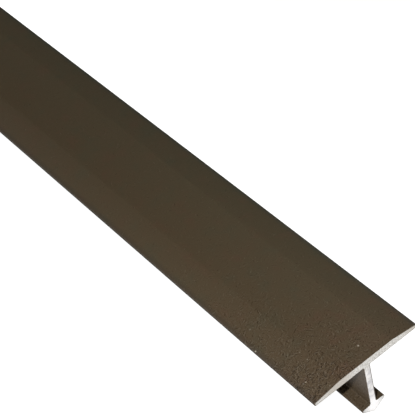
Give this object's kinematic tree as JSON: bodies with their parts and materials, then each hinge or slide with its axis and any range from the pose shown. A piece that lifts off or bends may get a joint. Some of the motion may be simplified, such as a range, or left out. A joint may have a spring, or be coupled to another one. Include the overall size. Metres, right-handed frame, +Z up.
{
  "type": "aluminium tee section",
  "caption": "Extruded aluminium tee section for a floor joint: a cover flange with bevelled sides on a thin web with an arrow-shaped foot, coated dark bronze and sawn square at its ends.",
  "frame": {"origin": "centre of the bounding box's underside, on the floor that the strip lies on", "axes": "+X along the strip, away from the sawn end that the picture shows; +Z up; the strip lies on the +Y wing's long edge and on its foot, so the flange's top faces +Y and +Z"},
  "size_m": [0.9, 0.0202, 0.0205],
  "materials": {
    "dark_bronze_coat": "satin dark bronze coat with a fine grain, bare metal at the sawn ends"
  },
  "bodies": {
    "root": {"tee_section": "dark_bronze_coat"}
  },
  "joints": []
}
